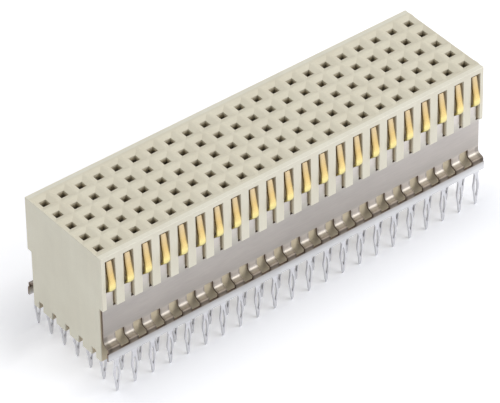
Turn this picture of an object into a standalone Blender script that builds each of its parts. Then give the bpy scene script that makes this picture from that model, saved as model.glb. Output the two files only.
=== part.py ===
"""Vertical backplane connector, 22 columns by 5 rows of sockets on a 2 mm grid.

A moulded housing has one stamped contact under every socket. A folded shield of sheet metal
lies along each long side. Each shield has a spring finger at every column near the mating face,
and press-fit tails below. All contact and shield tails point down through the board.
The contacts of the long rows and of the two end columns are pieces of their own. In the inner
field the tails are one with the housing, and each socket is a plain well for its pin.

Frame: X runs along the columns, Y across the rows, Z up to the mating face.
The origin is under the centre of the grid, at the level of the tail tips.
Lengths are in metres.
"""

import math

import bpy
import bmesh
from mathutils import Matrix

# Grid
PITCH = 0.0020
COLUMNS = 22
ROWS = 5

# Heights of the whole part
BODY_HEIGHT = 0.0122
TAIL_REACH = 0.0033

# Housing
END_WALL = 0.0010
SIDE_WALL = 0.0012
RIB_PROUD = 0.0004
RIB_WIDTH = 0.0009
RIB_LENGTH = 0.0061
RIB_END_SLOPE = 0.0001
BAND_HEIGHT = 0.00065
POCKET_LENGTH = 0.0048
POCKET_DEPTH = 0.0004
EDGE_CHAMFER = 0.00015
RAIL_HEIGHT = 0.0009
GROOVE_WIDTH = 0.0006

# Sockets
FUNNEL_WIDTH = 0.0018
FUNNEL_DEPTH = 0.0002
ENTRY_WIDTH = 0.00078
ROOF_DEPTH = 0.0011
CHAMBER_DEPTH = 0.00085
STEM_SLOT_DEPTH = 0.0005
STEM_SLOT_HEIGHT = 0.0016
PIN_DEPTH = 0.0087

# Signal contacts
CONTACT_SHEET = 0.00025
CONTACT_CLEARANCE = 0.00005
FORK_TOP_GAP = 0.0005
FORK_WIDTH = 0.00112
FORK_NIP = 0.00044
FORK_SLOT_WIDTH = 0.00056
FORK_LEAD = 0.0006
FORK_LENGTH = 0.0045
SHOULDER_WIDTH = 0.00120
SHOULDER_HEIGHT = 0.0014
SHOULDER_DROP = 0.0004

# Press-fit tails of contacts and shields
NECK_WIDTH = 0.00042
EYE_WIDTH = 0.00072
EYE_HOLE_WIDTH = 0.00028
EYE_HOLE_LENGTH = 0.0022
EYE_DROP = 0.0012
TIP_WIDTH = 0.00022

# Shields
SHIELD_SHEET = 0.0002
SEAT_GAP = 0.00004
WALL_END_INSET = 0.0002
STRIP_END_INSET = 0.0001
TONGUE_GAP = 0.00014
TONGUE_END_GAP = 0.00006
ARM_WIDTH = 0.0010
ARM_DROP = 0.00175
ARM_BEND_DROP = 0.00016
ARM_BEND_SHARE = 0.06
WINDOW_MARGIN = 0.0001
STRIP_LIFT = 0.00055
STRIP_HEIGHT = 0.00085
FINGER_TIP_WIDTH = 0.0004
FINGER_TIP_GAP = 0.00015
FINGER_BULGE = 0.00064
BULGE_RISE = 0.00045
BULGE_FLAT = 0.0006
FINGER_TIP_STAND = 0.00016
FINGER_LENGTH = 0.0043

# Places that follow from the sizes above
SEAT_Z = TAIL_REACH
MATING_Z = SEAT_Z + BODY_HEIGHT
FLOOR_Z = SEAT_Z + RAIL_HEIGHT
ROOF_Z = MATING_Z - ROOF_DEPTH
RIB_END_Z = MATING_Z - RIB_LENGTH
HALF_LENGTH = (COLUMNS - 1) * PITCH / 2 + END_WALL
WALL_Y = (ROWS - 1) * PITCH / 2 + SIDE_WALL
RIB_Y = WALL_Y + RIB_PROUD
SHIELD_ROW_Y = (ROWS + 1) * PITCH / 2
SHIELD_WALL_Y = WALL_Y + SEAT_GAP + SHIELD_SHEET / 2

# Drawing aids: outlines are filled at a larger scale, because a curve's fill rounds below
# 0.03 mm, and a cutter runs past the face that it opens.
DRAWING_SCALE = 1000.0
OVERCUT = 0.0005
FUNNEL_OVERCUT = 0.00002
FUSE_DEPTH = 0.0003
WELD = 0.000001


def clear_scene():
    for item in list(bpy.data.objects):
        bpy.data.objects.remove(item, do_unlink=True)


def new_collection(name, parent=None):
    group = bpy.data.collections.new(name)
    holder = parent or bpy.context.scene.collection
    holder.children.link(group)
    return group


def new_material(name, colour, roughness, metallic=0.0):
    material = bpy.data.materials.new(name)
    material.use_nodes = True
    shader = material.node_tree.nodes["Principled BSDF"]
    shader.inputs["Base Color"].default_value = (*colour, 1.0)
    shader.inputs["Roughness"].default_value = roughness
    shader.inputs["Metallic"].default_value = metallic
    material.diffuse_color = (*colour, 1.0)
    return material


def new_object(name, mesh, group, material=None):
    item = bpy.data.objects.new(name, mesh)
    group.objects.link(item)
    if material is not None and not mesh.materials:
        mesh.materials.append(material)
    return item


def new_cutter(name, mesh, group):
    item = new_object(name, mesh, group)
    item.hide_render = True
    item.display_type = "WIRE"
    return item


def plate(name, outlines, thickness, turn):
    """A flat plate filled between closed outlines, turned from its drawing plane into place."""
    drawing = bpy.data.curves.new(name, "CURVE")
    drawing.dimensions = "2D"
    drawing.fill_mode = "BOTH"
    drawing.extrude = thickness / 2 * DRAWING_SCALE
    for outline in outlines:
        spline = drawing.splines.new("POLY")
        spline.points.add(len(outline) - 1)
        spline.use_cyclic_u = True
        for point, (across, up) in zip(spline.points, outline):
            point.co = (across * DRAWING_SCALE, up * DRAWING_SCALE, 0.0, 1.0)
    holder = bpy.data.objects.new(name, drawing)
    bpy.context.scene.collection.objects.link(holder)
    evaluated = holder.evaluated_get(bpy.context.evaluated_depsgraph_get())
    mesh = bpy.data.meshes.new_from_object(evaluated)
    bpy.data.objects.remove(holder, do_unlink=True)
    bpy.data.curves.remove(drawing)
    mesh.transform(turn @ Matrix.Scale(1.0 / DRAWING_SCALE, 4))
    form = bmesh.new()
    form.from_mesh(mesh)
    bmesh.ops.remove_doubles(form, verts=form.verts, dist=WELD)
    bmesh.ops.recalc_face_normals(form, faces=form.faces)
    form.to_mesh(mesh)
    form.free()
    return mesh


# An outline drawn as (x, z) faces along Y, and one drawn as (y, z) is drawn out along X.
FACING_Y = Matrix.Rotation(math.radians(90), 4, "X")
ALONG_X = Matrix(((0, 0, 1, 0), (1, 0, 0, 0), (0, 1, 0, 0), (0, 0, 0, 1)))


def mirrored(half):
    """A closed outline from its right half, listed from top to bottom."""
    return half + [(-across, up) for across, up in reversed(half)]


def square_well(name, levels):
    """A closed four-sided well through levels of (half width in X, half width in Y, height)."""
    form = bmesh.new()
    rings = []
    for half_x, half_y, z in levels:
        corners = [(-half_x, -half_y), (half_x, -half_y), (half_x, half_y), (-half_x, half_y)]
        rings.append([form.verts.new((x, y, z)) for x, y in corners])
    form.faces.new(rings[0])
    form.faces.new(rings[-1])
    for upper, lower in zip(rings, rings[1:]):
        for side in range(4):
            after = (side + 1) % 4
            form.faces.new((upper[side], upper[after], lower[after], lower[side]))
    bmesh.ops.recalc_face_normals(form, faces=form.faces)
    mesh = bpy.data.meshes.new(name)
    form.to_mesh(mesh)
    form.free()
    return mesh


def repeat(item, count, step, axis):
    """An array of copies centred on the item's own place."""
    array = item.modifiers.new("Repeat " + "XY"[axis], "ARRAY")
    array.count = count
    array.use_relative_offset = False
    array.use_constant_offset = True
    offset = [0.0, 0.0, 0.0]
    offset[axis] = step
    array.constant_offset_displace = offset
    item.location[axis] -= (count - 1) * step / 2


def combine(item, other, operation):
    """A Boolean of an object with another object, or with every object of a collection."""
    boolean = item.modifiers.new(operation.title() + " " + other.name, "BOOLEAN")
    boolean.operation = operation
    if isinstance(other, bpy.types.Collection):
        boolean.operand_type = "COLLECTION"
        boolean.collection = other
    else:
        boolean.object = other


def column_x(column):
    return (column - (COLUMNS - 1) / 2) * PITCH


def row_y(row):
    return (row - (ROWS - 1) / 2) * PITCH


def tail_half(root_z):
    """Right half of a press-fit tail, from its root down to its tip at height zero."""
    eye_z = SEAT_Z - EYE_DROP
    return [
        (NECK_WIDTH / 2, root_z),
        (EYE_WIDTH / 2, eye_z),
        (TIP_WIDTH / 2, 0.0),
    ]


def eye_hole(x=0.0):
    """The long slot that splits a tail into its two springy legs."""
    eye_z = SEAT_Z - EYE_DROP
    return [
        (x + EYE_HOLE_WIDTH / 2, eye_z),
        (x, eye_z + EYE_HOLE_LENGTH / 2),
        (x - EYE_HOLE_WIDTH / 2, eye_z),
        (x, eye_z - EYE_HOLE_LENGTH / 2),
    ]


def contact_mesh():
    """A flat blank: a fork that grips the pin, a shoulder that sits in the housing, and a tail."""
    fork_top = ROOF_Z - FORK_TOP_GAP
    shoulder_bottom = FLOOR_Z - SHOULDER_DROP
    shoulder_top = shoulder_bottom + SHOULDER_HEIGHT
    outline = mirrored([
        (FORK_SLOT_WIDTH / 2, fork_top - FORK_LENGTH),
        (FORK_NIP / 2, fork_top - FORK_LEAD),
        (FORK_WIDTH / 2, fork_top),
        (SHOULDER_WIDTH / 2, shoulder_top),
        (SHOULDER_WIDTH / 2, shoulder_bottom),
    ] + tail_half(shoulder_bottom))
    return plate("signal_contact", [outline, eye_hole()], CONTACT_SHEET, FACING_Y)


def housing_mesh():
    """The long section of the moulding: chamfered top band, waist for the shield, rails below."""
    half = [
        (RIB_Y - EDGE_CHAMFER, MATING_Z),
        (RIB_Y, MATING_Z - EDGE_CHAMFER),
        (RIB_Y, RIB_END_Z + RIB_END_SLOPE),
        (WALL_Y, RIB_END_Z),
        (WALL_Y, SEAT_Z),
    ]
    for row in reversed(range(ROWS)):
        outer = row_y(row) + GROOVE_WIDTH / 2
        inner = row_y(row) - GROOVE_WIDTH / 2
        half += [(outer, SEAT_Z), (outer, FLOOR_Z), (inner, FLOOR_Z), (inner, SEAT_Z)]
    half += [
        (-WALL_Y, SEAT_Z),
        (-WALL_Y, RIB_END_Z),
        (-RIB_Y, RIB_END_Z + RIB_END_SLOPE),
        (-RIB_Y, MATING_Z - EDGE_CHAMFER),
        (-RIB_Y + EDGE_CHAMFER, MATING_Z),
    ]
    return plate("housing", [half], 2 * HALF_LENGTH, ALONG_X)


def entry_levels():
    """The square lead-in funnel of a socket, from above the mating face to its narrow entry."""
    slope = (FUNNEL_WIDTH - ENTRY_WIDTH) / 2 / FUNNEL_DEPTH
    above = FUNNEL_WIDTH / 2 + slope * FUNNEL_OVERCUT
    return [
        (above, above, MATING_Z + FUNNEL_OVERCUT),
        (ENTRY_WIDTH / 2, ENTRY_WIDTH / 2, MATING_Z - FUNNEL_DEPTH),
    ]


def cavity_mesh():
    """A socket with the chamber of a separate contact, and a narrow slot for its stem below."""
    chamber = max(FORK_WIDTH, SHOULDER_WIDTH) / 2 + CONTACT_CLEARANCE
    stem_z = FLOOR_Z + STEM_SLOT_HEIGHT
    narrowing = (CHAMBER_DEPTH - STEM_SLOT_DEPTH) / 2
    return square_well("contact_cavity", entry_levels() + [
        (ENTRY_WIDTH / 2, ENTRY_WIDTH / 2, ROOF_Z),
        (chamber, CHAMBER_DEPTH / 2, ROOF_Z),
        (chamber, CHAMBER_DEPTH / 2, stem_z + narrowing),
        (chamber, STEM_SLOT_DEPTH / 2, stem_z),
        (chamber, STEM_SLOT_DEPTH / 2, FLOOR_Z - RAIL_HEIGHT / 2),
    ])


def pin_well_mesh():
    """A socket of the inner field, as deep as the mating pin goes in."""
    return square_well("pin_well", entry_levels() + [
        (ENTRY_WIDTH / 2, ENTRY_WIDTH / 2, MATING_Z - PIN_DEPTH),
    ])


def pocket_mesh(side):
    """The stepped slot between two ribs, in which a spring finger of the shield moves."""
    outside = RIB_Y + OVERCUT
    top = MATING_Z - BAND_HEIGHT
    step = MATING_Z - POCKET_LENGTH
    bottom = RIB_END_Z - OVERCUT
    outline = [
        (side * outside, top),
        (side * (WALL_Y - POCKET_DEPTH), top),
        (side * (WALL_Y - POCKET_DEPTH), step),
        (side * WALL_Y, step),
        (side * WALL_Y, bottom),
        (side * outside, bottom),
    ]
    return plate("finger_pocket", [outline], PITCH - RIB_WIDTH, ALONG_X)


def inner_tail_mesh():
    """The tail of a contact of the inner field, sunk into the moulding that carries it."""
    outline = mirrored(tail_half(FLOOR_Z + FUSE_DEPTH))
    return plate("inner_tail", [outline], CONTACT_SHEET, FACING_Y)


def make_housing(parts, cutters, material):
    housing = new_object("housing", housing_mesh(), parts, material)

    openings = new_collection("housing_openings", cutters)
    long_rows = new_cutter("long_row_cavities", cavity_mesh(), openings)
    repeat(long_rows, COLUMNS, PITCH, 0)
    repeat(long_rows, 2, (ROWS - 1) * PITCH, 1)
    end_columns = new_cutter("end_column_cavities", cavity_mesh(), openings)
    repeat(end_columns, 2, (COLUMNS - 1) * PITCH, 0)
    repeat(end_columns, ROWS - 2, PITCH, 1)
    inner_wells = new_cutter("inner_pin_wells", pin_well_mesh(), openings)
    repeat(inner_wells, COLUMNS - 2, PITCH, 0)
    repeat(inner_wells, ROWS - 2, PITCH, 1)
    for name, side in (("front_finger_pockets", -1), ("back_finger_pockets", 1)):
        pockets = new_cutter(name, pocket_mesh(side), openings)
        repeat(pockets, COLUMNS, PITCH, 0)
    combine(housing, openings, "DIFFERENCE")

    inner_tails = new_cutter("inner_tails", inner_tail_mesh(), cutters)
    repeat(inner_tails, COLUMNS - 2, PITCH, 0)
    repeat(inner_tails, ROWS - 2, PITCH, 1)
    combine(housing, inner_tails, "UNION")


def make_contacts(parts, material):
    """The contacts of the outer ring, one under each socket of the long rows and the ends."""
    mesh = contact_mesh()
    for row in range(ROWS):
        for column in range(COLUMNS):
            on_long_row = row in (0, ROWS - 1)
            on_end = column in (0, COLUMNS - 1)
            if on_long_row or on_end:
                name = "signal_contact_" + chr(ord("a") + row) + str(column + 1).zfill(2)
                contact = new_object(name, mesh, parts, material)
                contact.location = (column_x(column), row_y(row), 0.0)


def shield_levels():
    """Heights of the shield's fold and cut lines, from its strip up to its finger tips."""
    strip_bottom = SEAT_Z + STRIP_LIFT
    strip_top = strip_bottom + STRIP_HEIGHT
    wall_bottom = strip_top + ARM_DROP
    wall_top = RIB_END_Z - TONGUE_END_GAP
    tip = MATING_Z - BAND_HEIGHT - FINGER_TIP_GAP
    return strip_bottom, strip_top, wall_bottom, wall_top, tip


def shield_centre_line():
    """The middle of the folded sheet as (y, z), outward positive, from the tips down."""
    _, strip_top, wall_bottom, _, tip = shield_levels()
    finger_root = MATING_Z - FINGER_LENGTH
    jog = SHIELD_ROW_Y - SHIELD_WALL_Y
    return [
        (SHIELD_WALL_Y + FINGER_TIP_STAND, tip),
        (SHIELD_WALL_Y + FINGER_BULGE, finger_root + BULGE_RISE + BULGE_FLAT),
        (SHIELD_WALL_Y + FINGER_BULGE, finger_root + BULGE_RISE),
        (SHIELD_WALL_Y, finger_root),
        (SHIELD_WALL_Y, wall_bottom),
        (SHIELD_WALL_Y + ARM_BEND_SHARE * jog, wall_bottom - ARM_BEND_DROP),
        (SHIELD_ROW_Y - ARM_BEND_SHARE * jog, strip_top + ARM_BEND_DROP),
        (SHIELD_ROW_Y, strip_top),
        (SHIELD_ROW_Y, -OVERCUT),
    ]


def offset_line(line, distance):
    """A line beside a centre line that runs downward, with mitred corners."""
    headings = [math.atan2(z1 - z0, y1 - y0) for (y0, z0), (y1, z1) in zip(line, line[1:])]
    shifted = []
    for (y, z), arriving, leaving in zip(line, headings[:1] + headings, headings + headings[-1:]):
        normal = (arriving + leaving) / 2 + math.pi / 2
        reach = distance / math.cos((arriving - leaving) / 2)
        shifted.append((y + reach * math.cos(normal), z + reach * math.sin(normal)))
    return shifted


def shield_blank():
    """The shield seen from its side: tails, strip, arms, wall, tabs and fingers, with holes."""
    strip_bottom, strip_top, wall_bottom, wall_top, tip = shield_levels()
    window_bottom = strip_top + WINDOW_MARGIN
    window_top = wall_bottom - WINDOW_MARGIN
    wall_x = HALF_LENGTH - WALL_END_INSET
    strip_x = HALF_LENGTH - STRIP_END_INSET
    root = (PITCH - RIB_WIDTH) / 2 - TONGUE_GAP
    outline = []
    for column in range(COLUMNS):
        x = column_x(column)
        outline += [
            (x - root, wall_top),
            (x - FINGER_TIP_WIDTH / 2, tip),
            (x + FINGER_TIP_WIDTH / 2, tip),
            (x + root, wall_top),
        ]
    outline += [
        (wall_x, wall_top),
        (wall_x, strip_top),
        (strip_x, strip_top),
        (strip_x, strip_bottom),
    ]
    for column in reversed(range(COLUMNS)):
        x = column_x(column)
        outline += [(x + across, up) for across, up in mirrored(tail_half(strip_bottom))]
    outline += [
        (-strip_x, strip_bottom),
        (-strip_x, strip_top),
        (-wall_x, strip_top),
        (-wall_x, wall_top),
    ]
    holes = [eye_hole(column_x(column)) for column in range(COLUMNS)]
    for column in range(COLUMNS - 1):
        left = column_x(column) + ARM_WIDTH / 2
        right = column_x(column + 1) - ARM_WIDTH / 2
        holes.append([
            (left, window_bottom),
            (right, window_bottom),
            (right, window_top),
            (left, window_top),
        ])
    depth = 2 * (SHIELD_ROW_Y + OVERCUT)
    return plate("shield_blank", [outline] + holes, depth, FACING_Y)


def make_shields(parts, cutters, material):
    line = shield_centre_line()
    inner = offset_line(line, -SHIELD_SHEET / 2)
    section = offset_line(line, SHIELD_SHEET / 2) + inner[::-1]
    folded = plate("shield", [section], 2 * HALF_LENGTH, ALONG_X)
    blank = new_cutter("shield_blank", shield_blank(), cutters)
    for side, angle in (("back", 0.0), ("front", math.pi)):
        shield = new_object("shield_" + side, folded, parts, material)
        shield.rotation_euler.z = angle
        combine(shield, blank, "INTERSECT")


def build():
    clear_scene()
    parts = new_collection("backplane_connector")
    cutters = new_collection("cutters")
    moulding = new_material("housing_moulding", (0.72, 0.67, 0.56), 0.55)
    plating = new_material("contact_plating", (0.55, 0.55, 0.58), 0.35, 1.0)
    sheet = new_material("shield_sheet", (0.48, 0.45, 0.43), 0.4, 1.0)
    make_housing(parts, cutters, moulding)
    make_contacts(parts, plating)
    make_shields(parts, cutters, sheet)


build()
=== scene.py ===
"""Visual model of the backplane connector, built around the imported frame.

Shapes are drawn in millimetres in the frame's axes and put in place in metres.
X runs along the columns, Y across the rows, Z up to the mating face. Tail tips are at Z = 0.
"""
import math

import bmesh
import bpy
from mathutils import Matrix, Vector


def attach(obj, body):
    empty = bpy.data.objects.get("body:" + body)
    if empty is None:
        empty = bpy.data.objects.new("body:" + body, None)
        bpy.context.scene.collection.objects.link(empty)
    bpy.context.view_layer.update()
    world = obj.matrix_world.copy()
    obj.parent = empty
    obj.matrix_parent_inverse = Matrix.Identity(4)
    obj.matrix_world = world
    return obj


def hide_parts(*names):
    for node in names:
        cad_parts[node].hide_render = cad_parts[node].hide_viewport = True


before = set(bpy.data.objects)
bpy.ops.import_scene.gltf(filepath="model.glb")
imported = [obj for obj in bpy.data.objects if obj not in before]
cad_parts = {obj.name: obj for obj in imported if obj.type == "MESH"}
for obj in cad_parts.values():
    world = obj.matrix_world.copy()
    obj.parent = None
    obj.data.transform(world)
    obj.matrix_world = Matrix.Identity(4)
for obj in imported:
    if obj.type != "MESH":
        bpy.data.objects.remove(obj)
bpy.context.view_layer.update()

MM = 0.001

# Grid and heights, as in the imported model
PITCH = 2.0
COLUMN_XS = [-21.0 + PITCH * column for column in range(22)]
ROW_YS = [-4.0 + PITCH * row for row in range(5)]
HALF_LENGTH = 22.0
SEAT_Z = 3.3
GROOVE_Z = 4.2
RIB_END_Z = 9.47
POCKET_STEP_Z = 10.7
ROOF_Z = 14.4
BAND_Z = 14.95
TOP_Z = 15.5
RIB_Y = 5.67
WALL_Y = 5.1
CELL_EDGE_Y = 5.0
POCKET_Y = 4.8
SLOT_HALF = 0.55
SLOT_SHIFT = 0.04
GROOVE_HALF = 0.3
FUNNEL_HALF = 0.9
FUNNEL_Z = 15.3
ENTRY_HALF = 0.39
CHAMBER_HALF_X = 0.65
CHAMBER_HALF_Y = 0.425
STEM_HALF_Y = 0.25
STEM_Z = 5.8

# How far the moulding's edges are rounded
BODY_RADIUS = 0.16
RIB_END_RADIUS = 0.15
RIB_RADIUS = 0.075
FOOT_RADIUS = 0.05
SMALL_RADIUS = 0.03

BLACK = (0.0, 0.0, 0.0)
WHITE = (1.0, 1.0, 1.0)


def put(name, mesh, materials=()):
    """A scene object for a mesh that is drawn in place."""
    item = bpy.data.objects.new(name, mesh)
    bpy.context.scene.collection.objects.link(item)
    for material in materials:
        mesh.materials.append(material)
    return item


def smooth_mesh(form, name):
    mesh = bpy.data.meshes.new(name)
    form.to_mesh(mesh)
    form.free()
    mesh.shade_smooth()
    return mesh


def baked(item, name):
    """The mesh of an object with its modifiers worked in. The object goes."""
    evaluated = item.evaluated_get(bpy.context.evaluated_depsgraph_get())
    mesh = bpy.data.meshes.new_from_object(evaluated)
    mesh.name = name
    bpy.data.objects.remove(item, do_unlink=True)
    return mesh


def soften(item, width, segments, angle=None):
    """Rounded edges: by each edge's own weight, or at every edge sharper than an angle."""
    bevel = item.modifiers.new("Rounded edges", "BEVEL")
    bevel.width = width * MM
    bevel.segments = segments
    bevel.use_clamp_overlap = True
    bevel.harden_normals = True
    if angle is None:
        bevel.limit_method = "WEIGHT"
    else:
        bevel.limit_method = "ANGLE"
        bevel.angle_limit = math.radians(angle)


def smooth_step(low, high, value):
    share = min(1.0, max(0.0, (value - low) / (high - low)))
    return share * share * (3 - 2 * share)


def through(points, value):
    """A smooth curve through (value, result) points, flat at each point."""
    if value <= points[0][0]:
        return points[0][1]
    for (v0, r0), (v1, r1) in zip(points, points[1:]):
        if value <= v1:
            return r0 + (r1 - r0) * smooth_step(v0, v1, value)
    return points[-1][1]


def along(points, value):
    """A straight-sided curve through (value, result) points."""
    if value <= points[0][0]:
        return points[0][1]
    for (v0, r0), (v1, r1) in zip(points, points[1:]):
        if value <= v1:
            return r0 + (r1 - r0) * (value - v0) / (v1 - v0)
    return points[-1][1]


# Materials

def shader_nodes(name):
    material = bpy.data.materials.new(name)
    material.use_nodes = True
    tree = material.node_tree
    return material, tree, tree.nodes["Principled BSDF"]


def link(tree, source, target):
    tree.links.new(source, target)


def feed(tree, value, target):
    """Link a node's output to an input, or set the input to a number or a vector."""
    if isinstance(value, bpy.types.NodeSocket):
        link(tree, value, target)
    else:
        target.default_value = value


def maths(tree, operation, *values):
    node = tree.nodes.new("ShaderNodeMath")
    node.operation = operation
    for value, target in zip(values, node.inputs):
        feed(tree, value, target)
    return node.outputs["Value"]


def vector_maths(tree, operation, *values):
    node = tree.nodes.new("ShaderNodeVectorMath")
    node.operation = operation
    for value, target in zip(values, node.inputs):
        feed(tree, value, target)
    return node.outputs["Value" if operation == "LENGTH" else "Vector"]


def object_axis(tree, axis):
    """One coordinate of a point, in metres, in the object's own axes."""
    place = tree.nodes.new("ShaderNodeTexCoord")
    parts = tree.nodes.new("ShaderNodeSeparateXYZ")
    link(tree, place.outputs["Object"], parts.inputs["Vector"])
    return parts.outputs[axis]


def object_point(tree, scale=(1.0, 1.0, 1.0)):
    place = tree.nodes.new("ShaderNodeTexCoord")
    mapping = tree.nodes.new("ShaderNodeMapping")
    mapping.inputs["Scale"].default_value = scale
    link(tree, place.outputs["Object"], mapping.inputs["Vector"])
    return mapping.outputs["Vector"]


def noise(tree, point, scale, detail=3.0, roughness=0.55):
    node = tree.nodes.new("ShaderNodeTexNoise")
    node.inputs["Scale"].default_value = scale
    node.inputs["Detail"].default_value = detail
    node.inputs["Roughness"].default_value = roughness
    link(tree, point, node.inputs["Vector"])
    return node.outputs["Fac"]


def spread(tree, value, low, high, from_low=0.3, from_high=0.7):
    node = tree.nodes.new("ShaderNodeMapRange")
    node.inputs["From Min"].default_value = from_low
    node.inputs["From Max"].default_value = from_high
    node.inputs["To Min"].default_value = low
    node.inputs["To Max"].default_value = high
    link(tree, value, node.inputs["Value"])
    return node.outputs["Result"]


def ramp(tree, value, stops):
    node = tree.nodes.new("ShaderNodeValToRGB")
    elements = node.color_ramp.elements
    while len(elements) < len(stops):
        elements.new(0.5)
    for element, (position, colour) in zip(elements, stops):
        element.position = position
        element.color = (*colour, 1.0)
    link(tree, value, node.inputs["Fac"])
    return node.outputs["Color"]


def tint(tree, colour, shade):
    """A colour times a grey value."""
    node = tree.nodes.new("ShaderNodeVectorMath")
    node.operation = "SCALE"
    link(tree, colour, node.inputs[0])
    link(tree, shade, node.inputs["Scale"])
    return node.outputs["Vector"]


def bump(tree, shader, height, strength, distance):
    node = tree.nodes.new("ShaderNodeBump")
    node.inputs["Strength"].default_value = strength
    node.inputs["Distance"].default_value = distance * MM
    link(tree, height, node.inputs["Height"])
    link(tree, node.outputs["Normal"], shader.inputs["Normal"])


def height_above_tips(tree, low, high):
    """Height in the frame, in millimetres, spread from 0 to 1 between two levels."""
    return spread(tree, object_axis(tree, "Z"), 0.0, 1.0, low * MM, high * MM)


def distance_from_columns(tree):
    """How far a point is, along X, from the middle of its column of contacts."""
    before_first = COLUMN_XS[0] - PITCH
    shifted = maths(tree, "SUBTRACT", object_axis(tree, "X"), before_first * MM)
    return maths(tree, "PINGPONG", shifted, PITCH / 2 * MM)


def blend(tree, share, value):
    """A value where the share is 1, and 1 where the share is 0."""
    node = tree.nodes.new("ShaderNodeMapRange")
    node.inputs["To Min"].default_value = 1.0
    link(tree, share, node.inputs["Value"])
    link(tree, value, node.inputs["To Max"])
    return node.outputs["Result"]


def distance_from_middle(tree, axis, low, high):
    """Distance from the part's middle along X or Y, spread from 0 to 1 between two values."""
    away = maths(tree, "ABSOLUTE", object_axis(tree, axis))
    return spread(tree, away, 0.0, 1.0, low * MM, high * MM)


def tones_by_height(tree, tones):
    """Colours at heights above the tail tips, in millimetres, with even changes between them."""
    low, high = tones[0][0], tones[-1][0]
    level = height_above_tips(tree, low, high)
    return ramp(tree, level, [((z - low) / (high - low), colour) for z, colour in tones])


def moulding_painted_light(tree):
    """Painted light and shade that the moulding's colour is multiplied by: full on the long outer
    faces, a little darker on the top and the ends, painted shade that dulls and browns the slots,
    pockets, sockets and the wall behind the shields, and a paler, bluer painted highlight along the
    front and back edges of the top.
    """
    recess_shade = (0.875, 0.798, 0.690)
    on_ends = (0.968, 0.974, 0.968)
    on_top = (0.922, 0.910, 0.880)
    front_rim_highlight = (1.05, 1.06, 1.08)
    back_rim_highlight = (0.96, 0.98, 1.0)
    # Painted shade: where a point is on none of the outer faces, its colour is dulled and browned.
    sides = ramp(tree, distance_from_middle(tree, "Y", 5.40, 5.50), [(0.0, recess_shade), (1.0, WHITE)])
    ends = ramp(tree, distance_from_middle(tree, "X", 21.86, 21.92), [(0.0, recess_shade), (1.0, on_ends)])
    top = ramp(tree, height_above_tips(tree, 15.02, 15.22), [(0.0, recess_shade), (1.0, on_top)])
    across = spread(tree, object_axis(tree, "Y"), 0.0, 1.0, -6.0 * MM, 6.0 * MM)
    # Painted highlight: paler and bluer along the front and back edges of the top.
    rim = ramp(tree, across, [
        (0.05, front_rim_highlight),
        (0.070, front_rim_highlight),
        (0.085, BLACK),
        (0.915, BLACK),
        (0.930, back_rim_highlight),
    ])
    above = ramp(tree, height_above_tips(tree, 15.3, 15.45), [(0.0, BLACK), (1.0, WHITE)])
    rim = vector_maths(tree, "MULTIPLY", rim, above)
    share = vector_maths(tree, "MAXIMUM", sides, vector_maths(tree, "MAXIMUM", ends, top))
    return vector_maths(tree, "MAXIMUM", share, rim)


def moulding_material():
    """Glass-filled plastic: light beige, faintly mottled, with a fine dry grain."""
    material, tree, shader = shader_nodes("beige_moulding")
    cloud = noise(tree, object_point(tree), 330.0, 4.0)
    flow = noise(tree, object_point(tree, (1.0, 1.0, 0.12)), 900.0, 3.0)
    grain = noise(tree, object_point(tree), 9000.0, 2.0)
    base = ramp(tree, cloud, [(0.3, (0.765, 0.715, 0.580)), (0.7, (0.812, 0.769, 0.635))])
    # Painted shade in the recesses, a slightly darker top and ends, and a painted highlight along
    # the top's front and back edges.
    base = vector_maths(tree, "MULTIPLY", base, moulding_painted_light(tree))
    base = tint(tree, base, spread(tree, flow, 0.975, 1.02))
    base = tint(tree, base, spread(tree, grain, 0.975, 1.02))
    link(tree, base, shader.inputs["Base Color"])
    link(tree, spread(tree, cloud, 0.50, 0.62), shader.inputs["Roughness"])
    shader.inputs["Specular IOR Level"].default_value = 0.4
    bump(tree, shader, grain, 0.25, 0.012)
    return material


def tin_material():
    """Matte tin over copper alloy, on the press-fit tails and the forks."""
    material, tree, shader = shader_nodes("matte_tin")
    cloud = noise(tree, object_point(tree), 1500.0, 3.0)
    grain = noise(tree, object_point(tree, (1.0, 1.0, 0.2)), 14000.0, 2.0)
    base = ramp(tree, cloud, [(0.3, (0.62, 0.62, 0.64)), (0.7, (0.72, 0.72, 0.74))])
    link(tree, base, shader.inputs["Base Color"])
    link(tree, spread(tree, cloud, 0.40, 0.52), shader.inputs["Roughness"])
    shader.inputs["Metallic"].default_value = 1.0
    bump(tree, shader, grain, 0.2, 0.006)
    return material


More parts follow.
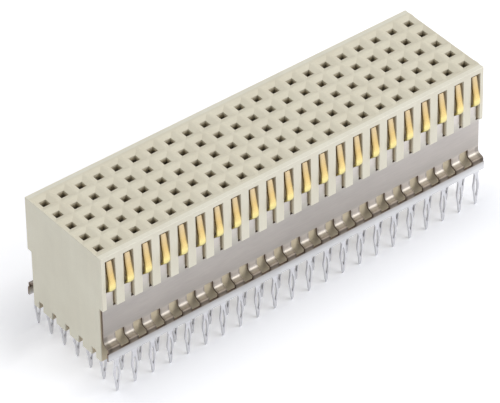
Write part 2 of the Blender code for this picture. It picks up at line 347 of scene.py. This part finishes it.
def sheet_material():
    """Rolled sheet: tinned strip, warm copper tone at the arms, grey nickel tone on the wall, with
    painted highlight and painted shade laid into the tones.
    """
    material, tree, shader = shader_nodes("shield_sheet_metal")
    # Tones by height, partly painted light. The tinned strip darkens towards its top into a dark
    # band at 4.78-5.26 mm. That band is painted shade where the arms meet the strip, and it also
    # dulls the reflection at the arms' lower bend. 5.55-6.10 mm is a painted highlight on the arms'
    # upper bend. The grey wall above grows lighter towards the tabs.
    base = tones_by_height(tree, [
        (4.00, (0.645, 0.645, 0.65)),
        (4.20, (0.62, 0.62, 0.625)),
        (4.45, (0.52, 0.515, 0.515)),
        (4.69, (0.42, 0.405, 0.395)),
        (4.78, (0.20, 0.165, 0.13)),
        (4.92, (0.155, 0.125, 0.10)),
        (5.02, (0.13, 0.107, 0.086)),
        (5.26, (0.125, 0.103, 0.084)),
        (5.32, (0.30, 0.255, 0.207)),
        (5.36, (0.33, 0.285, 0.232)),
        (5.45, (0.30, 0.268, 0.23)),
        (5.55, (0.37, 0.335, 0.295)),
        (5.64, (0.43, 0.39, 0.35)),
        (5.80, (0.47, 0.425, 0.38)),
        (6.10, (0.475, 0.43, 0.39)),
        (6.30, (0.40, 0.367, 0.335)),
        (6.50, (0.375, 0.345, 0.318)),
        (7.80, (0.41, 0.377, 0.35)),
        (9.00, (0.415, 0.385, 0.36)),
        (9.60, (0.475, 0.452, 0.40)),
        (10.45, (0.57, 0.53, 0.49)),
        (11.00, (0.59, 0.555, 0.52)),
    ])
    # Painted shade on the sides of each arm, so that the painted highlight stays in the middle of
    # the arm.
    arm = spread(tree, distance_from_columns(tree), 1.0, 0.6, 0.28 * MM, 0.5 * MM)
    on_arm = ramp(tree, height_above_tips(tree, STRIP_TOP, ARM_TONE_TOP), [
        (0.0, BLACK),
        (0.08, WHITE),
        (0.9, WHITE),
        (1.0, BLACK),
    ])
    base = tint(tree, base, blend(tree, on_arm, arm))
    # Painted reflection: the sheet is up to 17 % lighter towards X = -19 mm in its own axes.
    length = object_axis(tree, "X")
    base = tint(tree, base, spread(tree, length, 1.17, 1.0, -19.0 * MM, -3.0 * MM))
    cloud = noise(tree, object_point(tree, (0.5, 1.0, 1.0)), 420.0, 4.0)
    rolled = noise(tree, object_point(tree, (0.06, 1.0, 1.0)), 9000.0, 3.0)
    base = tint(tree, base, spread(tree, cloud, 0.93, 1.05))
    base = tint(tree, base, spread(tree, rolled, 0.95, 1.04))
    link(tree, base, shader.inputs["Base Color"])
    link(tree, spread(tree, cloud, 0.30, 0.40), shader.inputs["Roughness"])
    shader.inputs["Metallic"].default_value = 1.0
    bump(tree, shader, rolled, 0.25, 0.006)
    return material


def gold_material():
    """Hard gold on the spring fingers, redder towards the tips, with a painted highlight on the
    bulge near 12.2 mm, darker towards the root, and painted shade on the flanks of the fingers'
    upper part.
    """
    material, tree, shader = shader_nodes("finger_gold")
    base = tones_by_height(tree, [
        (11.20, (0.60, 0.53, 0.24)),
        (11.70, (0.70, 0.62, 0.27)),
        (12.20, (0.90, 0.76, 0.32)),
        (12.60, (0.80, 0.61, 0.25)),
        (13.20, (0.71, 0.51, 0.21)),
        (14.70, (0.65, 0.51, 0.31)),
    ])
    # Painted shade on the fingers' flanks, above 12.3 mm.
    flank_shade = spread(tree, distance_from_columns(tree), 1.0, 0.58, 0.16 * MM, 0.30 * MM)
    base = tint(tree, base, blend(tree, height_above_tips(tree, 12.3, 12.9), flank_shade))
    cloud = noise(tree, object_point(tree), 2500.0, 3.0)
    base = tint(tree, base, spread(tree, cloud, 0.95, 1.03))
    link(tree, base, shader.inputs["Base Color"])
    link(tree, spread(tree, cloud, 0.20, 0.30), shader.inputs["Roughness"])
    shader.inputs["Metallic"].default_value = 1.0
    return material


def cut_edge_material():
    """The sheared edge of the sheet: bare alloy, dull brown, made dark enough to stand also for
    painted shade in the gaps beside the edges.
    """
    material, tree, shader = shader_nodes("sheared_edge")
    cloud = noise(tree, object_point(tree), 3000.0, 3.0)
    base = ramp(tree, cloud, [(0.3, (0.16, 0.115, 0.09)), (0.7, (0.24, 0.18, 0.14))])
    link(tree, base, shader.inputs["Base Color"])
    link(tree, spread(tree, cloud, 0.42, 0.58), shader.inputs["Roughness"])
    shader.inputs["Metallic"].default_value = 0.8
    return material


# Housing

def grid_boundary(xs, ys, zs, solid, skip):
    """The skin of a solid of boxes between grid lines, without the faces that skip() names."""
    form = bmesh.new()
    corners = {}

    def corner(i, j, k):
        key = (i, j, k)
        if key not in corners:
            corners[key] = form.verts.new((xs[i], ys[j], zs[k]))
        return corners[key]

    def filled(i, j, k):
        if i < 0 or j < 0 or k < 0 or i >= len(xs) - 1 or j >= len(ys) - 1 or k >= len(zs) - 1:
            return False
        middle = [(line[n] + line[n + 1]) / 2 for line, n in ((xs, i), (ys, j), (zs, k))]
        return solid(*middle)

    for i in range(len(xs) - 1):
        for j in range(len(ys) - 1):
            for k in range(len(zs) - 1):
                if not filled(i, j, k):
                    continue
                for axis in range(3):
                    for ahead in (0, 1):
                        beside = [i, j, k]
                        beside[axis] += 1 if ahead else -1
                        if filled(*beside):
                            continue
                        spans = [(i, i + 1), (j, j + 1), (k, k + 1)]
                        spans[axis] = ((i, j, k)[axis] + ahead,) * 2
                        (a0, a1), (b0, b1) = [spans[n] for n in range(3) if n != axis]
                        ring = []
                        for a, b in ((a0, b0), (a1, b0), (a1, b1), (a0, b1)):
                            place = [a, b]
                            place.insert(axis, spans[axis][0])
                            ring.append(tuple(place))
                        centre = [sum(line[p[n]] for p in ring) / 4
                                  for n, line in enumerate((xs, ys, zs))]
                        if skip(axis, ahead, *centre):
                            continue
                        form.faces.new([corner(*p) for p in ring])
    return form


def housing_solid(x, y, z):
    across = abs(y)
    in_slot = min(abs(x - column - SLOT_SHIFT) for column in COLUMN_XS) < SLOT_HALF
    if z < GROOVE_Z and min(abs(y - row) for row in ROW_YS) < GROOVE_HALF:
        return False
    if z < RIB_END_Z:
        return across < WALL_Y
    if in_slot and z < POCKET_STEP_Z:
        return across < WALL_Y
    if in_slot and z < BAND_Z:
        return across < POCKET_Y
    return across < RIB_Y


def socket_side(axis, ahead, x, y, z):
    """Faces that the sockets' own rings of faces stand for."""
    on_top = axis == 2 and abs(z - TOP_Z) < 0.01 and abs(y) < CELL_EDGE_Y
    in_groove = axis == 2 and abs(z - GROOVE_Z) < 0.01
    return on_top or in_groove


def ring_of_twelve(half_x, half_y, side_x, side_y):
    """Twelve points round a rectangle: its corners, and two points on each side."""
    low, high = SLOT_SHIFT - side_x, SLOT_SHIFT + side_x
    return [
        (-half_x, -half_y), (low, -half_y), (high, -half_y),
        (half_x, -half_y), (half_x, -side_y), (half_x, side_y),
        (half_x, half_y), (high, half_y), (low, half_y),
        (-half_x, half_y), (-half_x, side_y), (-half_x, -side_y),
    ]


def add_socket(form, x, y):
    """The funnel, entry, roof and chamber of one socket, from the top face to the groove."""
    levels = [
        (1.0, 1.0, SLOT_HALF, GROOVE_HALF, TOP_Z),
        (FUNNEL_HALF, FUNNEL_HALF, 0.4, 0.4, TOP_Z),
        (ENTRY_HALF, ENTRY_HALF, 0.2, 0.2, FUNNEL_Z),
        (ENTRY_HALF, ENTRY_HALF, 0.2, 0.2, ROOF_Z),
        (CHAMBER_HALF_X, CHAMBER_HALF_Y, 0.35, 0.12, ROOF_Z),
        (CHAMBER_HALF_X, CHAMBER_HALF_Y, 0.35, 0.12, STEM_Z + 0.175),
        (CHAMBER_HALF_X, STEM_HALF_Y, 0.35, 0.12, STEM_Z),
        (CHAMBER_HALF_X, STEM_HALF_Y, 0.35, 0.12, GROOVE_Z),
    ]
    rings = []
    for half_x, half_y, side_x, side_y, z in levels:
        points = ring_of_twelve(half_x, half_y, side_x, side_y)
        rings.append([form.verts.new((x + dx, y + dy, z)) for dx, dy in points])
    for upper, lower in zip(rings, rings[1:]):
        for n in range(12):
            after = (n + 1) % 12
            form.faces.new((upper[n], upper[after], lower[after], lower[n]))
    last = rings[-1]
    low, high = SLOT_SHIFT - SLOT_HALF, SLOT_SHIFT + SLOT_HALF
    outer = [form.verts.new((x + dx, y + dy, GROOVE_Z)) for dx, dy in (
        (-1.0, -GROOVE_HALF), (low, -GROOVE_HALF), (high, -GROOVE_HALF),
        (1.0, -GROOVE_HALF), (1.0, GROOVE_HALF), (high, GROOVE_HALF),
        (low, GROOVE_HALF), (-1.0, GROOVE_HALF))]
    form.faces.new((outer[0], outer[1], last[1], last[0]))
    form.faces.new((outer[1], outer[2], last[2], last[1]))
    form.faces.new((outer[2], outer[3], last[3], last[2]))
    form.faces.new((outer[3], outer[4], last[6], last[5], last[4], last[3]))
    form.faces.new((outer[4], outer[5], last[7], last[6]))
    form.faces.new((outer[5], outer[6], last[8], last[7]))
    form.faces.new((outer[6], outer[7], last[9], last[8]))
    form.faces.new((outer[7], outer[0], last[0], last[11], last[10], last[9]))


def edge_radius(edge):
    """How far an edge of the moulding is rounded, in millimetres."""
    a, b = edge.verts[0].co, edge.verts[1].co
    middle = (a + b) / 2
    across, length, z = abs(middle.y), abs(middle.x), middle.z
    on_end = length > HALF_LENGTH - 0.01
    in_field = across < CELL_EDGE_Y - 0.02 and not on_end
    if in_field and (z > BAND_Z + 0.1 or across < POCKET_Y - 0.1):
        return SMALL_RADIUS if z > FUNNEL_Z - 0.02 else 0.0
    if z > TOP_Z - 0.01:
        return BODY_RADIUS
    if on_end and abs(a.z - b.z) > 0.01:
        return BODY_RADIUS
    if z < GROOVE_Z + 0.01:
        return FOOT_RADIUS
    if abs(z - RIB_END_Z) < 0.01 and abs(a.x - b.x) < 0.01 and across > WALL_Y:
        return RIB_END_RADIUS
    if across > RIB_Y - 0.02:
        return RIB_RADIUS
    return SMALL_RADIUS


def housing_mesh():
    """The moulding, with each edge's share of the largest radius as its bevel weight."""
    xs = [-HALF_LENGTH]
    for column in COLUMN_XS:
        xs += [column + SLOT_SHIFT - SLOT_HALF, column + SLOT_SHIFT + SLOT_HALF, column + 1.0]
    ys = [-RIB_Y, -WALL_Y, -CELL_EDGE_Y, -POCKET_Y]
    for row in ROW_YS:
        ys += [row - GROOVE_HALF, row + GROOVE_HALF, row + 1.0]
    ys[-1:] = [POCKET_Y, CELL_EDGE_Y, WALL_Y, RIB_Y]
    zs = [SEAT_Z, GROOVE_Z, RIB_END_Z, POCKET_STEP_Z, BAND_Z, TOP_Z]
    form = grid_boundary(xs, ys, zs, housing_solid, socket_side)
    for x in COLUMN_XS:
        for y in ROW_YS:
            add_socket(form, x, y)
    bmesh.ops.remove_doubles(form, verts=form.verts, dist=0.001)
    bmesh.ops.recalc_face_normals(form, faces=form.faces)
    weight = form.edges.layers.float.new("bevel_weight_edge")
    for edge in form.edges:
        if len(edge.link_faces) != 2:
            continue
        turn = edge.calc_face_angle_signed(0.0)
        if abs(turn) > math.radians(20):
            edge[weight] = edge_radius(edge) / BODY_RADIUS
    bmesh.ops.scale(form, vec=(MM, MM, MM), verts=form.verts)
    return smooth_mesh(form, "housing_moulding")


# Sheet metal

def rounded_path(corners, steps):
    """A path of (y, z) points with an arc at each inner corner of (y, z, radius)."""
    path = [Vector(corners[0][:2])]
    for before, here, after in zip(corners, corners[1:], corners[2:]):
        point = Vector(here[:2])
        back = Vector(before[:2]) - point
        ahead = Vector(after[:2]) - point
        turn = math.pi - back.angle(ahead)
        reach = min(here[2] * math.tan(turn / 2), back.length * 0.48, ahead.length * 0.48)
        start = point + back.normalized() * reach
        end = point + ahead.normalized() * reach
        for step in range(steps + 1):
            t = step / steps
            path.append(start * (1 - t) ** 2 + point * 2 * t * (1 - t) + end * t ** 2)
    path.append(Vector(corners[-1][:2]))
    return path


def path_levels(path, extra):
    """Heights of a path's points and some more heights, from the top down."""
    heights = [point.y for point in path] + list(extra)
    kept = []
    for height in sorted(heights, reverse=True):
        if not kept or kept[-1] - height > 0.012:
            kept.append(height)
    return kept


def path_place(path, height):
    """The path's (y, z) point and its outward normal at a height."""
    for above, below in zip(path, path[1:]):
        if height >= below.y - 1e-6:
            span = max(above.y - below.y, 1e-9)
            share = min(1.0, max(0.0, (above.y - height) / span))
            point = above.lerp(below, share)
            break
    else:
        point = path[-1].copy()
    reach = 0.04
    upper = next((p for p in reversed(path) if p.y >= point.y + reach), path[0])
    lower = next((p for p in path if p.y <= point.y - reach), path[-1])
    run = (lower - upper).normalized()
    return point, Vector((-run.y, run.x))


def sheet_form(levels, lines, filled, path, thickness, kind, sunk=None):
    """A bent sheet: lines(z) gives the X of each lengthwise line at a height, filled(n, z) says
    where there is metal between two lines, and kind(z) picks the material of its two faces."""
    form = bmesh.new()
    rows = []
    for z in levels:
        point, normal = path_place(path, z)
        half = thickness(z) / 2
        row = []
        for n, x in enumerate(lines(z)):
            back = sunk(n, z) if sunk else 0.0
            outer = (x, point.x + normal.x * (half - back), point.y + normal.y * (half - back))
            inner = (x, point.x - normal.x * (half + back), point.y - normal.y * (half + back))
            row.append((outer, inner))
        rows.append(row)
    count = len(rows[0]) - 1
    corners = {}

    def corner(r, c, side):
        key = (r, c, side)
        if key not in corners:
            corners[key] = form.verts.new(rows[r][c][side])
        return corners[key]

    def has(r, c):
        if r < 0 or c < 0 or r >= len(levels) - 1 or c >= count:
            return False
        return filled(c, (levels[r] + levels[r + 1]) / 2)

    for r in range(len(levels) - 1):
        middle = (levels[r] + levels[r + 1]) / 2
        for c in range(count):
            if not has(r, c):
                continue
            for side in (0, 1):
                face = form.faces.new([corner(r, c, side), corner(r, c + 1, side),
                                       corner(r + 1, c + 1, side), corner(r + 1, c, side)])
                face.material_index = kind(middle, False)
            for beside, (p, q) in (((r - 1, c), ((r, c), (r, c + 1))),
                                   ((r + 1, c), ((r + 1, c), (r + 1, c + 1))),
                                   ((r, c - 1), ((r, c), (r + 1, c))),
                                   ((r, c + 1), ((r, c + 1), (r + 1, c + 1)))):
                if not has(*beside):
                    face = form.faces.new([corner(*p, 0), corner(*q, 0),
                                           corner(*q, 1), corner(*p, 1)])
                    face.material_index = kind(middle, True)
    bmesh.ops.remove_doubles(form, verts=form.verts, dist=0.002)
    bmesh.ops.recalc_face_normals(form, faces=form.faces)
    bmesh.ops.scale(form, vec=(MM, MM, MM), verts=form.verts)
    return form


EYE_LOW = 0.95
EYE_HIGH = 3.15


def tail_half_width(z):
    """Half the width of a press-fit tail: neck, eye, shank and tip."""
    return through([(0.0, 0.07), (0.35, 0.135), (0.75, 0.155), (1.1, 0.20), (2.1, 0.36),
                    (3.15, 0.24), (3.45, 0.205)], z)


def eye_half_width(z):
    """Half the width of the long eye that splits a tail into two legs."""
    if not EYE_LOW < z < EYE_HIGH:
        return 0.0
    share = 2 * (z - EYE_LOW) / (EYE_HIGH - EYE_LOW) - 1
    return 0.165 * (1 - abs(share) ** 2.4)


def beside_slit(z):
    """Half the gap between the middle two lines of a tail or a plain strip of sheet."""
    near_eye = EYE_LOW - 0.05 < z < EYE_HIGH + 0.05
    return eye_half_width(z) if near_eye else 0.08


TAIL_LEVELS = [0.0, 0.12, 0.35, 0.6, 0.8, EYE_LOW, 1.05, 1.2, 1.4, 1.65, 1.9, 2.15, 2.4, 2.65,
               2.85, 3.02, EYE_HIGH, 3.3, 3.45]


def tail_thickness(full):
    """The sheet's thickness at a height, which falls off at the tips of the tails."""
    def thickness(z):
        return full * along([(0.0, 0.45), (0.4, 1.0)], z)
    return thickness


# Shields

STRIP_LOW = 3.85
STRIP_TOP = 4.7
WINDOW_LOW = 4.8
ARM_TONE_TOP = 6.2
WINDOW_HIGH = 6.27
NOTCH_Z = 9.34
TAB_LOW = 11.13
TAB_HIGH = 11.25
GOLD_Z = 11.36
FINGER_CORNER_Z = 14.66
FINGER_TIP_Z = 14.78
SHEET = 0.2
WALL_INSET = 0.2
STRIP_INSET = 0.1
ARM_HALF = 0.5
TAB_HALF = 0.41
FINGER_CROWN = 0.07

SHIELD_PATH = rounded_path([
    (5.48, FINGER_TIP_Z),
    (5.68, 13.5, 2.5),
    (5.93, 12.45, 0.40),
    (5.96, 11.75, 0.30),
    (5.24, 11.2, 0.25),
    (5.24, 5.42, 0.62),
    (6.0, 5.17, 0.14),
    (6.0, 0.0),
], 6)


def shield_lines(z):
    """X of every lengthwise line of the shield's blank at a height."""
    if z > NOTCH_Z:
        outer = along([(TAB_HIGH, 0.33), (11.7, 0.35), (12.8, 0.34), (13.5, 0.33),
                       (FINGER_CORNER_Z, 0.29), (FINGER_TIP_Z, 0.22)], z)
        tab = max(outer + 0.002, along([(TAB_LOW, TAB_HALF), (TAB_HIGH, TAB_HALF - 0.08)], z))
    else:
        tab = TAB_HALF
        outer = 0.29
    if z < STRIP_LOW:
        outer = tail_half_width(z) + 0.14 * smooth_step(3.55, STRIP_LOW, z)
        tab = max(tab, outer + 0.01)
    inner = 0.15 if z > GOLD_Z else beside_slit(z)
    end = HALF_LENGTH - (WALL_INSET if z > STRIP_TOP - 0.005 else STRIP_INSET)
    lines = [-end]
    for column in COLUMN_XS:
        lines += [column - ARM_HALF, column - tab, column - outer, column - inner]
        lines += [column + inner, column + outer, column + tab, column + ARM_HALF]
        lines.append(column + PITCH / 2)
    lines[-1] = end
    return lines


def shield_filled(n, z):
    """Where the blank has metal. Strip 4 of every 9 is the middle of a column."""
    place = n % 9
    if z < STRIP_LOW:
        if place == 4:
            return not EYE_LOW < z < EYE_HIGH
        return place in (3, 5)
    if n == 0 or n == 9 * len(COLUMN_XS) - 1:
        return z < NOTCH_Z
    if place in (0, 8):
        return z < NOTCH_Z and not WINDOW_LOW < z < WINDOW_HIGH
    if place in (1, 7):
        return z < NOTCH_Z
    if place in (2, 6):
        return z < TAB_HIGH
    return True


def shield_kind(z, on_edge):
    """0 sheet, 1 gold, 2 bare edge, 3 tin."""
    if z < STRIP_LOW:
        return 3
    if z > GOLD_Z:
        return 1
    return 2 if on_edge else 0


def finger_crown(n, z):
    """How far a lengthwise line of the shield lies back, so that the fingers are crowned."""
    on_side = n % 9 in (3, 6)
    return FINGER_CROWN * smooth_step(GOLD_Z, 11.8, z) if on_side else 0.0


def shield_mesh(materials):
    extra = TAIL_LEVELS + [3.55, 3.68, STRIP_LOW, STRIP_TOP - 0.015, STRIP_TOP, WINDOW_LOW,
                           WINDOW_HIGH, NOTCH_Z, TAB_LOW, TAB_HIGH, GOLD_Z, FINGER_CORNER_Z]
    levels = path_levels(SHIELD_PATH, extra)
    form = sheet_form(levels, shield_lines, shield_filled, SHIELD_PATH, tail_thickness(SHEET),
                      shield_kind, finger_crown)
    item = put("shield_draft", smooth_mesh(form, "shield"), materials)
    soften(item, 0.03, 2, 50)
    return baked(item, "shield")


# Signal contacts

FORK_TOP = 13.9
FORK_LOW = 9.4
SHOULDER_LOW = 3.8
SHOULDER_HIGH = 5.2
CONTACT_SHEET = 0.25
CONTACT_PATH = [Vector((0.0, FORK_TOP)), Vector((0.0, 0.0))]


def contact_lines(z):
    """X of the four lengthwise lines of a contact's blank at a height."""
    if z < SHOULDER_LOW:
        outer = tail_half_width(z)
    else:
        outer = along([(SHOULDER_LOW, 0.6), (SHOULDER_HIGH, 0.6), (SHOULDER_HIGH + 0.15, 0.56),
                       (11.5, 0.50), (13.3, 0.52), (FORK_TOP, 0.56)], z)
    if z < FORK_LOW:
        inner = beside_slit(z)
    else:
        inner = along([(FORK_LOW, 0.0), (9.7, 0.28), (12.6, 0.26), (13.3, 0.22),
                       (FORK_TOP, 0.44)], z)
    return [-outer, -inner, inner, outer]


def contact_filled(n, z):
    if n == 1:
        return z < FORK_LOW and not EYE_LOW < z < EYE_HIGH
    return True


def contact_kind(z, on_edge):
    """The contacts have one material all over."""
    return 0


def contact_mesh(material):
    extra = TAIL_LEVELS + [SHOULDER_LOW, SHOULDER_LOW - 0.005, SHOULDER_HIGH, SHOULDER_HIGH + 0.15,
                           FORK_LOW - 0.01, FORK_LOW + 0.01, 9.55, 9.7, 11.5, 12.6, 13.0, 13.3,
                           13.6, FORK_TOP]
    levels = sorted(set(extra), reverse=True)
    form = sheet_form(levels, contact_lines, contact_filled, CONTACT_PATH,
                      tail_thickness(CONTACT_SHEET), contact_kind)
    item = put("contact_draft", smooth_mesh(form, "signal_contact"), [material])
    soften(item, 0.03, 2, 50)
    return baked(item, "signal_contact")


# Camera, light and floor

PHOTO_WIDTH = 500
FOCAL_PIXELS = 4530.371


def place_camera():
    """The photograph's viewpoint: turn, tilt and roll in degrees, and a long lens far away."""
    turn = math.radians(-37.404)
    tilt = math.radians(39.123)
    roll = math.radians(-1.092)
    distance = 410.053
    slide = Vector((0.720, 6.254, -distance))
    back = Vector((math.sin(turn) * math.cos(tilt), -math.cos(turn) * math.cos(tilt),
                   math.sin(tilt)))
    right = Vector((0, 0, 1)).cross(back).normalized()
    up = back.cross(right)
    level = Matrix((right, up, back))
    rolled = Matrix.Rotation(-roll, 3, "Z") @ level
    spot = rolled.transposed() @ -slide + Vector((0, 0, FUNNEL_Z))
    camera = bpy.data.cameras.new("camera")
    camera.sensor_width = 36.0
    camera.sensor_fit = "HORIZONTAL"
    camera.lens = FOCAL_PIXELS / PHOTO_WIDTH * camera.sensor_width
    camera.clip_start = 0.01
    camera.clip_end = 20.0
    item = bpy.data.objects.new("camera", camera)
    bpy.context.scene.collection.objects.link(item)
    item.matrix_world = Matrix.Translation(spot * MM) @ rolled.transposed().to_4x4()
    bpy.context.scene.camera = item


def area_light(name, place, size, power, colour):
    lamp = bpy.data.lights.new(name, "AREA")
    lamp.shape = "RECTANGLE"
    lamp.size = size[0] * MM
    lamp.size_y = size[1] * MM
    lamp.energy = power
    lamp.color = colour
    item = bpy.data.objects.new(name, lamp)
    bpy.context.scene.collection.objects.link(item)
    item.location = Vector(place) * MM
    aim = Vector((0, 0, 8)) - Vector(place)
    item.rotation_euler = aim.to_track_quat("-Z", "Y").to_euler()


def place_world():
    world = bpy.data.worlds.new("studio")
    bpy.context.scene.world = world
    world.use_nodes = True
    tree = world.node_tree
    tree.nodes.clear()
    output = tree.nodes.new("ShaderNodeOutputWorld")
    light_path = tree.nodes.new("ShaderNodeLightPath")
    seen = maths(tree, "MAXIMUM", light_path.outputs["Is Camera Ray"],
                 light_path.outputs["Is Transmission Ray"])
    seen = maths(tree, "MAXIMUM", seen, light_path.outputs["Is Glossy Ray"])
    soft = tree.nodes.new("ShaderNodeBackground")
    soft.inputs["Color"].default_value = (0.97, 0.98, 1.0, 1.0)
    soft.inputs["Strength"].default_value = 0.50
    white = tree.nodes.new("ShaderNodeBackground")
    white.inputs["Color"].default_value = (1.0, 1.0, 1.0, 1.0)
    white.inputs["Strength"].default_value = 1.0
    mix = tree.nodes.new("ShaderNodeMixShader")
    link(tree, seen, mix.inputs["Fac"])
    link(tree, soft.outputs["Background"], mix.inputs[1])
    link(tree, white.outputs["Background"], mix.inputs[2])
    link(tree, mix.outputs["Shader"], output.inputs["Surface"])


def floor_distance(tree):
    """How far a point of the floor is from the ground that the part covers."""
    place = tree.nodes.new("ShaderNodeTexCoord")
    covered = (19.5 * MM, 5.0 * MM, 1.0)
    size = vector_maths(tree, "ABSOLUTE", place.outputs["Object"])
    beyond = vector_maths(tree, "SUBTRACT", size, covered)
    return vector_maths(tree, "LENGTH", vector_maths(tree, "MAXIMUM", beyond, BLACK))


def floor_glow(tree):
    """Light that the camera and reflections see in the floor: weaker beside the part, a painted
    shadow, and stronger again under it, painted light that brightens the floor between the tails.
    """
    around = spread(tree, floor_distance(tree), 0.19, 0.42, 1.2 * MM, 8.0 * MM)
    reach = 8.0
    near = [(0.0, 0.42), (2.5, 0.42), (4.5, 0.30), (5.5, 0.30), (6.8, 0.10), (reach, 0.0)]
    under = ramp(tree, distance_from_middle(tree, "Y", 0.0, reach),
                 [(y / reach, (power, power, power)) for y, power in near])
    light_path = tree.nodes.new("ShaderNodeLightPath")
    seen = maths(tree, "MAXIMUM", light_path.outputs["Is Camera Ray"],
                 light_path.outputs["Is Glossy Ray"])
    return maths(tree, "MULTIPLY", maths(tree, "MAXIMUM", around, under), seen)


def place_floor():
    """A pale, slightly bluish floor that glows white further out; the weaker glow round the part is
    a painted shadow.
    """
    form = bmesh.new()
    bmesh.ops.create_grid(form, x_segments=1, y_segments=1, size=3.0)
    mesh = bpy.data.meshes.new("floor")
    form.to_mesh(mesh)
    form.free()
    material, tree, shader = shader_nodes("floor_white")
    shader.inputs["Roughness"].default_value = 0.7
    shader.inputs["Specular IOR Level"].default_value = 0.2
    shader.inputs["Base Color"].default_value = (0.84, 0.845, 0.88, 1.0)
    glow = tree.nodes.new("ShaderNodeEmission")
    lift = tree.nodes.new("ShaderNodeAddShader")
    link(tree, floor_glow(tree), glow.inputs["Strength"])
    link(tree, shader.outputs["BSDF"], lift.inputs[0])
    link(tree, glow.outputs["Emission"], lift.inputs[1])
    link(tree, lift.outputs["Shader"], tree.nodes["Material Output"].inputs["Surface"])
    item = put("floor", mesh, [material])
    item.location.z = -0.02 * MM


place_camera()
place_world()
place_floor()
area_light("key", (200, -230, 250), (320, 320), 0.87, (0.955, 0.975, 1.0))
area_light("back", (-60, 220, 300), (200, 200), 0.15, (1.0, 0.98, 0.94))
area_light("fill", (-300, -40, 90), (160, 160), 0.12, (0.95, 0.98, 1.0))

MOULDING = moulding_material()
TIN = tin_material()
SHEET_METAL = sheet_material()
GOLD = gold_material()
CUT_EDGE = cut_edge_material()

# The moulding
housing = put("housing_moulding", housing_mesh(), [MOULDING])
soften(housing, BODY_RADIUS, 3)
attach(housing, "root")
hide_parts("housing")

# The two shields, one the other turned round
shape = shield_mesh([SHEET_METAL, GOLD, CUT_EDGE, TIN])
for side, angle in (("back", 0.0), ("front", math.pi)):
    shield = put("shield_" + side + "_sheet", shape)
    shield.rotation_euler.z = angle
    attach(shield, "root")
    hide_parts("shield_" + side)

# One contact under every socket
shape = contact_mesh(TIN)
for row, y in enumerate(ROW_YS):
    for column, x in enumerate(COLUMN_XS):
        name = chr(ord("a") + row) + str(column + 1).zfill(2)
        contact = put("contact_" + name, shape)
        contact.location = (x * MM, y * MM, 0.0)
        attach(contact, "root")
        if "signal_contact_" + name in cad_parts:
            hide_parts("signal_contact_" + name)

bpy.context.scene.view_settings.view_transform = "Standard"
